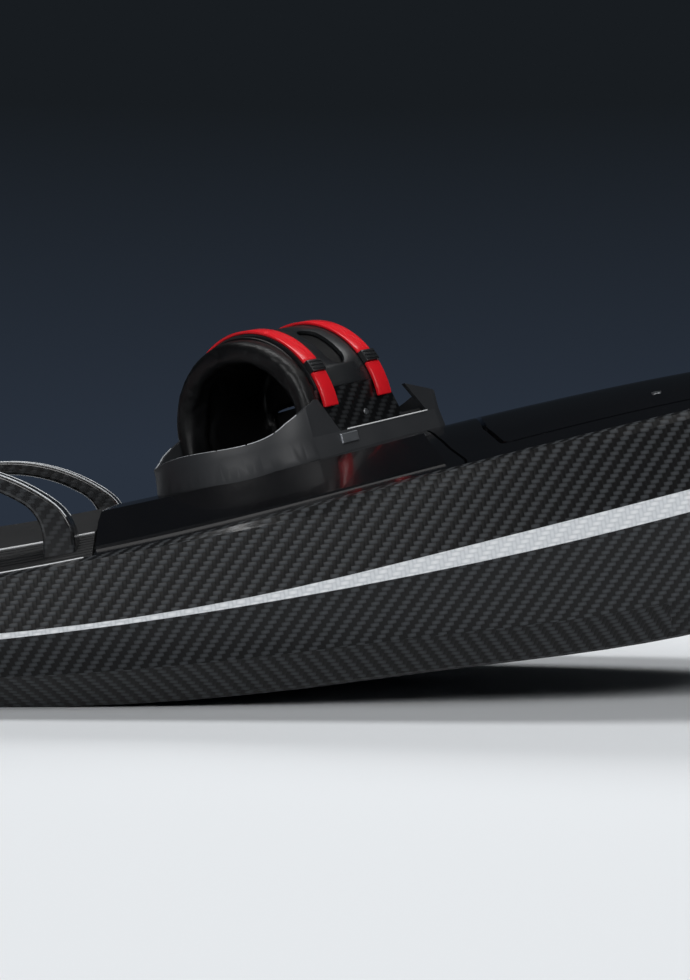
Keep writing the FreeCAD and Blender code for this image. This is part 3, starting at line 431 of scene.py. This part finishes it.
def discs(name, places, radius, depth):
    """Flat round heads in millimetres at places, each given with the direction that it faces."""
    shape = bmesh.new()
    for place, facing in places:
        turn = facing.to_track_quat("Z", "Y").to_matrix().to_4x4()
        head = bmesh.ops.create_cone(
            shape, cap_ends=True, segments=HEAD_SIDES, radius1=radius * MM,
            radius2=radius * HEAD_TAPER * MM, depth=depth * MM,
        )
        bmesh.ops.transform(shape, matrix=Matrix.Translation(place) @ turn, verts=head["verts"])
    mesh = bpy.data.meshes.new(name)
    shape.to_mesh(mesh)
    shape.free()
    return mesh


latch_heads = discs(
    "hatch_latches", [on_top("hatch_lid", *place) for place in LATCH_PLACES], LATCH_RADIUS, LATCH_DEPTH
)
made("hatch_latches", latch_heads, stainless, "hatch")

# Screws of the ride plate and the intake grate: countersunk stainless heads.
# They lie flush with the bottom, where the floor carries the board.
PLATE_SCREWS = [(x, y) for x in (-0.875, -0.797, -0.719) for y in (-0.072, 0.072)]
GRATE_SCREWS = [(x, 0.0) for x in (-0.4592, -0.6878)]
SCREW_RADIUS = 3.2
SCREW_DEPTH = 0.2
heads = [(Vector((x, y, 0)), DOWN) for x, y in PLATE_SCREWS + GRATE_SCREWS]
made("bottom_screws", discs("bottom_screws", heads, SCREW_RADIUS, SCREW_DEPTH), stainless)

# Soles: moulded from glass-filled nylon, each screwed to the deck through its footbed.
# A spark-eroded mould leaves a fine satin grain, and its parting edges come out rounded.
MOULD_GRAIN = 0.8
MOULD_DEPTH = 0.12
RUB = 45.5
RUB_SPREAD = (-0.05, 0.08)
SOLE_EDGE = 1.2
EDGE_MERGE = 0.01
EDGE_SEGMENTS = 2
FLAT_ANGLE = 1
SHARP_ANGLE = 40


def moulded(name, code, roughness, grain=MOULD_GRAIN, depth=MOULD_DEPTH):
    """A moulded plastic with an eroded grain, rubbed smoother in patches."""
    material, tree, surface = new_material(name)
    low, high = (roughness + spread for spread in RUB_SPREAD)
    gloss = between(tree, noise(tree, RUB, 5), low, high)
    eroded = bumped(tree, noise(tree, grain, 3), 0.35, depth)
    finish_with(tree, surface, Base_Color=colour(code), Roughness=gloss, Normal=eroded)
    return material


def eased(names, width):
    """Rounds the sharp edges of CAD nodes by a width in millimetres, as their moulds do."""
    for name in names:
        piece = nodes[name]
        weld = piece.modifiers.new("weld", "WELD")
        weld.merge_threshold = EDGE_MERGE * MM
        flat = piece.modifiers.new("flat", "DECIMATE")
        flat.decimate_type = "DISSOLVE"
        flat.angle_limit = math.radians(FLAT_ANGLE)
        edge = piece.modifiers.new("edge", "BEVEL")
        edge.width = width * MM
        edge.segments = EDGE_SEGMENTS
        edge.limit_method = "ANGLE"
        edge.angle_limit = math.radians(SHARP_ANGLE)


# Polyamide with glass fibre.
nylon = moulded("glass_filled_nylon_moulded", "292b2e", 0.45)
dress(["front_binding_sole", "rear_binding_sole"], nylon)
eased(["front_binding_sole", "rear_binding_sole"], SOLE_EDGE)

# Trim of the soles: a white inlaid line under each side plate, a pale bead in short lengths along the heel's rim
# whose grey is a painted highlight of the rim's edge, and a die-cast clip at the foot of each strap ear.
SOLE_TOE = 175
SOLE_WALL = 5.3
SOLE_HALF = 104
FOOTBED_TOP = 27
BINDING_TURN = 50
SOLE_LINE_ENDS = (-14, 136)
SOLE_LINE_HIGH = 22.5
SOLE_LINE_PROUD = 0.2
SOLE_LINE_RADIUS = 0.8
HEEL_MIDDLE = -75
LIP_OUT = 102.6
LIP_RADIUS = 0.7
LIP_COUNT = 9
LIP_SPAN = (95, 262)
LIP_GAP = 1.2
LIP_STEPS = 8
CLIP_SIZE = (30, 3.5, 12)
CLIP_MIDDLE = (-17, 13)
CLIP_OUT = 2
CLIP_EDGE = 1.2


def binding_matrix(binding):
    """The binding's own frame in millimetres: U to the toe, V to its left, W up from the deck."""
    mesh = nodes[f"{binding}_binding_footbed"].data
    top = max(mesh.polygons, key=lambda face: face.area)
    up = top.normal if top.normal.z > 0 else -top.normal
    tilt = math.atan2(-up.x, up.z)
    turn = Matrix.Rotation(-tilt, 3, "Y") @ Matrix.Rotation(math.radians(BINDING_TURN), 3, "Z")
    local = [turn.transposed() @ vertex.co for vertex in mesh.vertices]
    toe = max(point.x for point in local) - (SOLE_TOE - SOLE_WALL) * MM
    middle = (max(point.y for point in local) + min(point.y for point in local)) / 2
    deck = max(point.z for point in local) - FOOTBED_TOP * MM
    return Matrix.Translation(turn @ Vector((toe, middle, deck))) @ turn.to_4x4() @ Matrix.Scale(MM, 4)


BINDINGS = {name: binding_matrix(name) for name in ("front", "rear")}


def headed(matrix, *direction):
    """A unit direction of the board from one in a binding's frame."""
    return (matrix.to_3x3() @ Vector(direction)).normalized()


def blocks(name, sizes, matrices):
    """Blocks of one size in millimetres, each put in place by a matrix."""
    shape = bmesh.new()
    for matrix in matrices:
        block = bmesh.ops.create_cube(shape, size=1)
        bmesh.ops.transform(shape, matrix=matrix @ Matrix.Diagonal((*sizes, 1)), verts=block["verts"])
    mesh = bpy.data.meshes.new(name)
    shape.to_mesh(mesh)
    shape.free()
    return mesh


def sole_lines(matrix):
    """The white line's two runs, each just proud of the sole's side."""
    out = SOLE_HALF + SOLE_LINE_PROUD
    return [[matrix @ Vector((u, side * out, SOLE_LINE_HIGH)) for u in SOLE_LINE_ENDS] for side in (-1, 1)]


def heel_lips(binding, matrix):
    """The painted highlight's short runs, found on the heel's rim by rays cast down from above it."""
    runs = []
    lip_turn = (LIP_SPAN[1] - LIP_SPAN[0]) / LIP_COUNT
    for index in range(LIP_COUNT):
        start = LIP_SPAN[0] + lip_turn * index + LIP_GAP / 2
        run = []
        for degrees in spaced(start, start + lip_turn - LIP_GAP, LIP_STEPS):
            angle = math.radians(degrees)
            over = Vector((HEEL_MIDDLE + LIP_OUT * math.cos(angle), LIP_OUT * math.sin(angle), LIP_OUT))
            run.append(nodes[f"{binding}_binding_sole"].ray_cast(matrix @ over, headed(matrix, 0, 0, -1))[1])
        runs.append(run)
    return runs


# Pale grey for the painted highlight on the heel's rim, and die-cast zinc.
rim_highlight_grey = plain_plastic("heel_rim_painted_highlight", "b4b8bc", 0.35)
clip_grey = bare_metal("zinc_clip_die_cast", "a4a8ad", roughness=0.35, grit=1.5)
for binding, matrix in BINDINGS.items():
    line_name, lip_name, clip_name = f"{binding}_sole_line", f"{binding}_heel_rim_highlight", f"{binding}_sole_clips"
    line_mesh = round_cord(line_name, sole_lines(matrix), SOLE_LINE_RADIUS)
    made(line_name, line_mesh, white_line_and_highlight, smooth=True)
    lip_mesh = round_cord(lip_name, heel_lips(binding, matrix), LIP_RADIUS)
    made(lip_name, lip_mesh, rim_highlight_grey, smooth=True)
    clip_places = [
        matrix @ Matrix.Translation((CLIP_MIDDLE[0], side * (SOLE_HALF + CLIP_OUT), CLIP_MIDDLE[1]))
        for side in (-1, 1)
    ]
    clip = made(clip_name, blocks(clip_name, CLIP_SIZE, clip_places), clip_grey)
    edge = clip.modifiers.new("edge", "BEVEL")
    edge.width = CLIP_EDGE * MM
    edge.segments = EDGE_SEGMENTS

# Studs: one stainless screw on each side of a binding, its flat head on the outside of the side plate.
# It holds the carbon plate to the strap ear behind it.
STUD_PLACE = (28.5, 37)
STUD_OUT = 101.6
STUD_RADIUS = 3.6
STUD_DEPTH = 2.0
for binding, matrix in BINDINGS.items():
    studs = []
    for side in (-1, 1):
        head_place = matrix @ Vector((STUD_PLACE[0], side * STUD_OUT, STUD_PLACE[1]))
        studs.append((head_place, headed(matrix, 0, side, 0)))
    stud_name = f"{binding}_plate_studs"
    made(stud_name, discs(stud_name, studs, STUD_RADIUS, STUD_DEPTH), stainless)

# Tongues and buckles: moulded nylon, smoother than the soles; each buckle has grip ribs for the thumb.
# A tongue is bent over its collar, and the buckles lie on the straps at the binding's right side.
TONGUE_EDGE = 0.8
TUNNEL_CENTRE = 54
STRAP_PLACES = (-33, 64)
RIB_ANGLES = (62.6, 65, 67.4)
RIB_SIZE = (20, 1.3, 1.6)
BUCKLE_TOP = 110
# Unfilled polyamide.
tongue_nylon = moulded("nylon_tongue_moulded", "1c1e20", 0.32)
TONGUE_NODES = [f"{binding}_binding_{part}" for part in ("tongue", "buckles") for binding in BINDINGS]
dress(TONGUE_NODES, tongue_nylon)
eased(TONGUE_NODES, TONGUE_EDGE)
for binding, matrix in BINDINGS.items():
    ribs = []
    for u in STRAP_PLACES:
        for degrees in RIB_ANGLES:
            angle = math.radians(degrees)
            over = Vector((u, -BUCKLE_TOP * math.sin(angle), TUNNEL_CENTRE + BUCKLE_TOP * math.cos(angle)))
            ribs.append(matrix @ Matrix.Translation(over) @ Matrix.Rotation(angle, 4, "X"))
    rib_name = f"{binding}_buckle_ribs"
    made(rib_name, blocks(rib_name, RIB_SIZE, ribs), tongue_nylon)

# Battery: a sealed block in a moulded ABS case, standing in its bay under the hatch.
# It lifts out for charging.
case_plastic = moulded("abs_case_moulded", "1c1d1f", 0.5)
dress(["battery"], case_plastic)

# Straps: injection-moulded red polyurethane, polished in the mould, with a slightly soft look.
# They pass over the tongue from ear to ear, and their free ends hang from the buckles.
STRAP_EDGE = 1.3
red = moulded("red_polyurethane_moulded", "dc1c26", 0.22, grain=2.5, depth=0.05)
dress(["front_binding_straps", "rear_binding_straps"], red)
eased(["front_binding_straps", "rear_binding_straps"], STRAP_EDGE)

# Collars: a foam tunnel round the foot with a fat rolled rim at the heel, covered in black synthetic leather.
# The cover is tight over the roll and seamed behind it, and a corded piping hides the seam.
PORE = 1.6
FOLD = 22.2
VOXEL = 5
PRESSURE = 4
FRAMES = 20
SWELL = 7
TUNNEL_RADIUS = 98
TONGUE_HEEL = -46
SEAM_WIDTH = 3
UNDER_TONGUE = 0.5
ROLL_ROOM = 5
BED_GAP = 0.3
PIPING_PLACE = -50.5
PIPING_RADIUS = 2.2
PIPING_STEPS = 32


def leather(name, code, crease_code):
    """A synthetic leather with pores and soft folds, clouded between two tones."""
    material, tree, surface = new_material(name)
    folds = noise(tree, FOLD, 6)
    height = sums(tree, "ADD", cells(tree, PORE), folds)
    finish_with(
        tree, surface, Base_Color=blend(tree, folds, code, crease_code), Roughness=0.4,
        Specular_IOR_Level=0.35, Normal=bumped(tree, height, 0.4, 0.3),
    )
    return material


def swollen(source, name, limit):
    """A copy of a node blown up like a stuffed cover, no vertex moving further than a limit."""
    piece = bpy.data.objects.new(name, source.data.copy())
    scene.collection.objects.link(piece)
    remesh = piece.modifiers.new("remesh", "REMESH")
    remesh.mode = "VOXEL"
    remesh.voxel_size = VOXEL * MM
    bpy.context.view_layer.update()
    graph = bpy.context.evaluated_depsgraph_get()
    even = bpy.data.meshes.new_from_object(piece.evaluated_get(graph))
    piece.modifiers.clear()
    piece.data = even
    start = [vertex.co.copy() for vertex in even.vertices]
    cloth = piece.modifiers.new("cloth", "CLOTH")
    cloth.settings.use_pressure = True
    cloth.settings.uniform_pressure_force = PRESSURE
    cloth.settings.effector_weights.gravity = 0
    cloth.point_cache.frame_end = FRAMES
    for number in range(1, FRAMES + 1):
        scene.frame_set(number)
    graph = bpy.context.evaluated_depsgraph_get()
    blown = bpy.data.meshes.new_from_object(piece.evaluated_get(graph))
    for vertex, before in zip(blown.vertices, start):
        move = vertex.co - before
        if move.length > limit * MM:
            vertex.co = before + move * (limit * MM / move.length)
    piece.modifiers.clear()
    piece.data = blown
    scene.frame_set(1)
    return piece


def held(point):
    """A point of the cover in the binding's frame, kept under the tongue and off the footbed."""
    rise = Vector((0, point.y, max(point.z - TUNNEL_CENTRE, 0)))
    under_tongue = point.x > TONGUE_HEEL - SEAM_WIDTH
    allowed = TUNNEL_RADIUS - UNDER_TONGUE if under_tongue else TUNNEL_RADIUS + ROLL_ROOM
    if rise.length > allowed:
        rise *= allowed / rise.length
        point = Vector((point.x, rise.y, rise.z + min(point.z, TUNNEL_CENTRE)))
    point.z = max(point.z, FOOTBED_TOP + BED_GAP)
    return point


# Polyurethane-coated cloth.
collar_skin = leather("synthetic_leather_black", "060607", "0e0f10")
for binding, matrix in BINDINGS.items():
    collar = swollen(nodes[f"{binding}_binding_collar"], f"{binding}_collar_cover", SWELL)
    back = matrix.inverted()
    for vertex in collar.data.vertices:
        vertex.co = matrix @ held(back @ vertex.co)
    smooth = collar.modifiers.new("smooth", "SUBSURF")
    smooth.levels = smooth.render_levels = 1
    collar.data.materials.clear()
    collar.data.materials.append(collar_skin)
    collar.data.polygons.foreach_set("use_smooth", [True] * len(collar.data.polygons))
    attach(collar, "root")
    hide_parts(f"{binding}_binding_collar")
    seam = []
    for angle in spaced(0, math.pi, PIPING_STEPS):
        y, rise = -TUNNEL_RADIUS * math.cos(angle), TUNNEL_RADIUS * math.sin(angle)
        seam.append(matrix @ Vector((PIPING_PLACE, y, TUNNEL_CENTRE + rise)))
    piping_name = f"{binding}_collar_piping"
    made(piping_name, round_cord(piping_name, [seam], PIPING_RADIUS), collar_skin, smooth=True)

# Toe sheets: near-black blocks set in the low opening at the toe end of each collar, a painted shade in the place
# of the shadow inside the tunnel.
# They close the padded tunnel, so that its inside looks dark.
FLAP_PLACE = 71
FLAP_SIZE = (3, 138, 34)
FLAP_FOOT = 30
tunnel_shade_sheet = foam("toe_opening_painted_shade", "0b0b0c", "121214", 0.6)
for binding, matrix in BINDINGS.items():
    flap_place = matrix @ Matrix.Translation((FLAP_PLACE, 0, FLAP_FOOT + FLAP_SIZE[2] / 2))
    flap_name = f"{binding}_toe_shade_sheet"
    made(flap_name, blocks(flap_name, FLAP_SIZE, [flap_place]), tunnel_shade_sheet)

# Studio: a pale matt painted floor, a slate backdrop and soft lamps.
# The floor's paint darkens into the backdrop's tone away from the board, so no horizon shows.
FLOOR_HALF = 14
FLOOR_NEAR = 1.7
FLOOR_FAR = 4.5
SLATE_LOW = "29313d"
SLATE_HIGH = "181c20"
BACKDROP_RISE = 0.18

floor_mesh = bpy.data.meshes.new("floor")
corners = [(x * FLOOR_HALF, y * FLOOR_HALF, 0) for x, y in ((-1, -1), (1, -1), (1, 1), (-1, 1))]
floor_mesh.from_pydata(corners, [], [(0, 1, 2, 3)])
floor = bpy.data.objects.new("floor", floor_mesh)
scene.collection.objects.link(floor)
paint, tree, surface = new_material("floor_paint_matt")
place = add(tree, "ShaderNodeTexCoord").outputs["Object"]
distance = add(tree, "ShaderNodeVectorMath", {0: place}, operation="LENGTH").outputs["Value"]
fade = add(
    tree, "ShaderNodeMapRange", {"Value": distance, "From Min": FLOOR_NEAR, "From Max": FLOOR_FAR},
    interpolation_type="SMOOTHSTEP",
).outputs[0]
finish_with(
    tree, surface, Base_Color=blend(tree, fade, "e4e7ea", "000000"), Roughness=0.8, Specular_IOR_Level=0.0,
    Emission_Color=colour(SLATE_LOW), Emission_Strength=fade,
)
floor_mesh.materials.append(paint)

world = bpy.data.worlds.new("backdrop")
world.use_nodes = True
scene.world = world
tree = world.node_tree
direction = add(tree, "ShaderNodeTexCoord").outputs["Generated"]
height = add(tree, "ShaderNodeSeparateXYZ", {0: direction}).outputs[2]
rise = add(
    tree, "ShaderNodeMapRange", {"Value": height, "From Min": 0.0, "From Max": BACKDROP_RISE}
).outputs[0]
tree.links.new(blend(tree, rise, SLATE_LOW, SLATE_HIGH), tree.nodes["Background"].inputs["Color"])


def lamp(name, place, aim, size, watts, mirrored=True):
    """A rectangular soft lamp, which polished pieces mirror or not."""
    data = bpy.data.lights.new(name, "AREA")
    data.shape = "RECTANGLE"
    data.size, data.size_y = size
    data.energy = watts
    light = bpy.data.objects.new(name, data)
    light.location = place
    light.rotation_euler = (Vector(aim) - Vector(place)).to_track_quat("-Z", "Y").to_euler()
    light.visible_glossy = mirrored
    scene.collection.objects.link(light)


lamp("back_softbox", (0.0, 2.6, 2.6), aim=(0, 0, 0.1), size=(3.6, 1.2), watts=80, mirrored=False)
lamp("top_strip", (0.0, 0.3, 3.2), aim=(0, 0, 0.1), size=(3.6, 0.5), watts=50)
lamp("front_softbox", (-1.0, -3.4, 2.0), aim=(-0.1, 0, 0.15), size=(2.2, 1.4), watts=62)
lamp("bow_softbox", (2.6, -1.8, 2.2), aim=(0.4, 0, 0.2), size=(1.6, 1.2), watts=34)
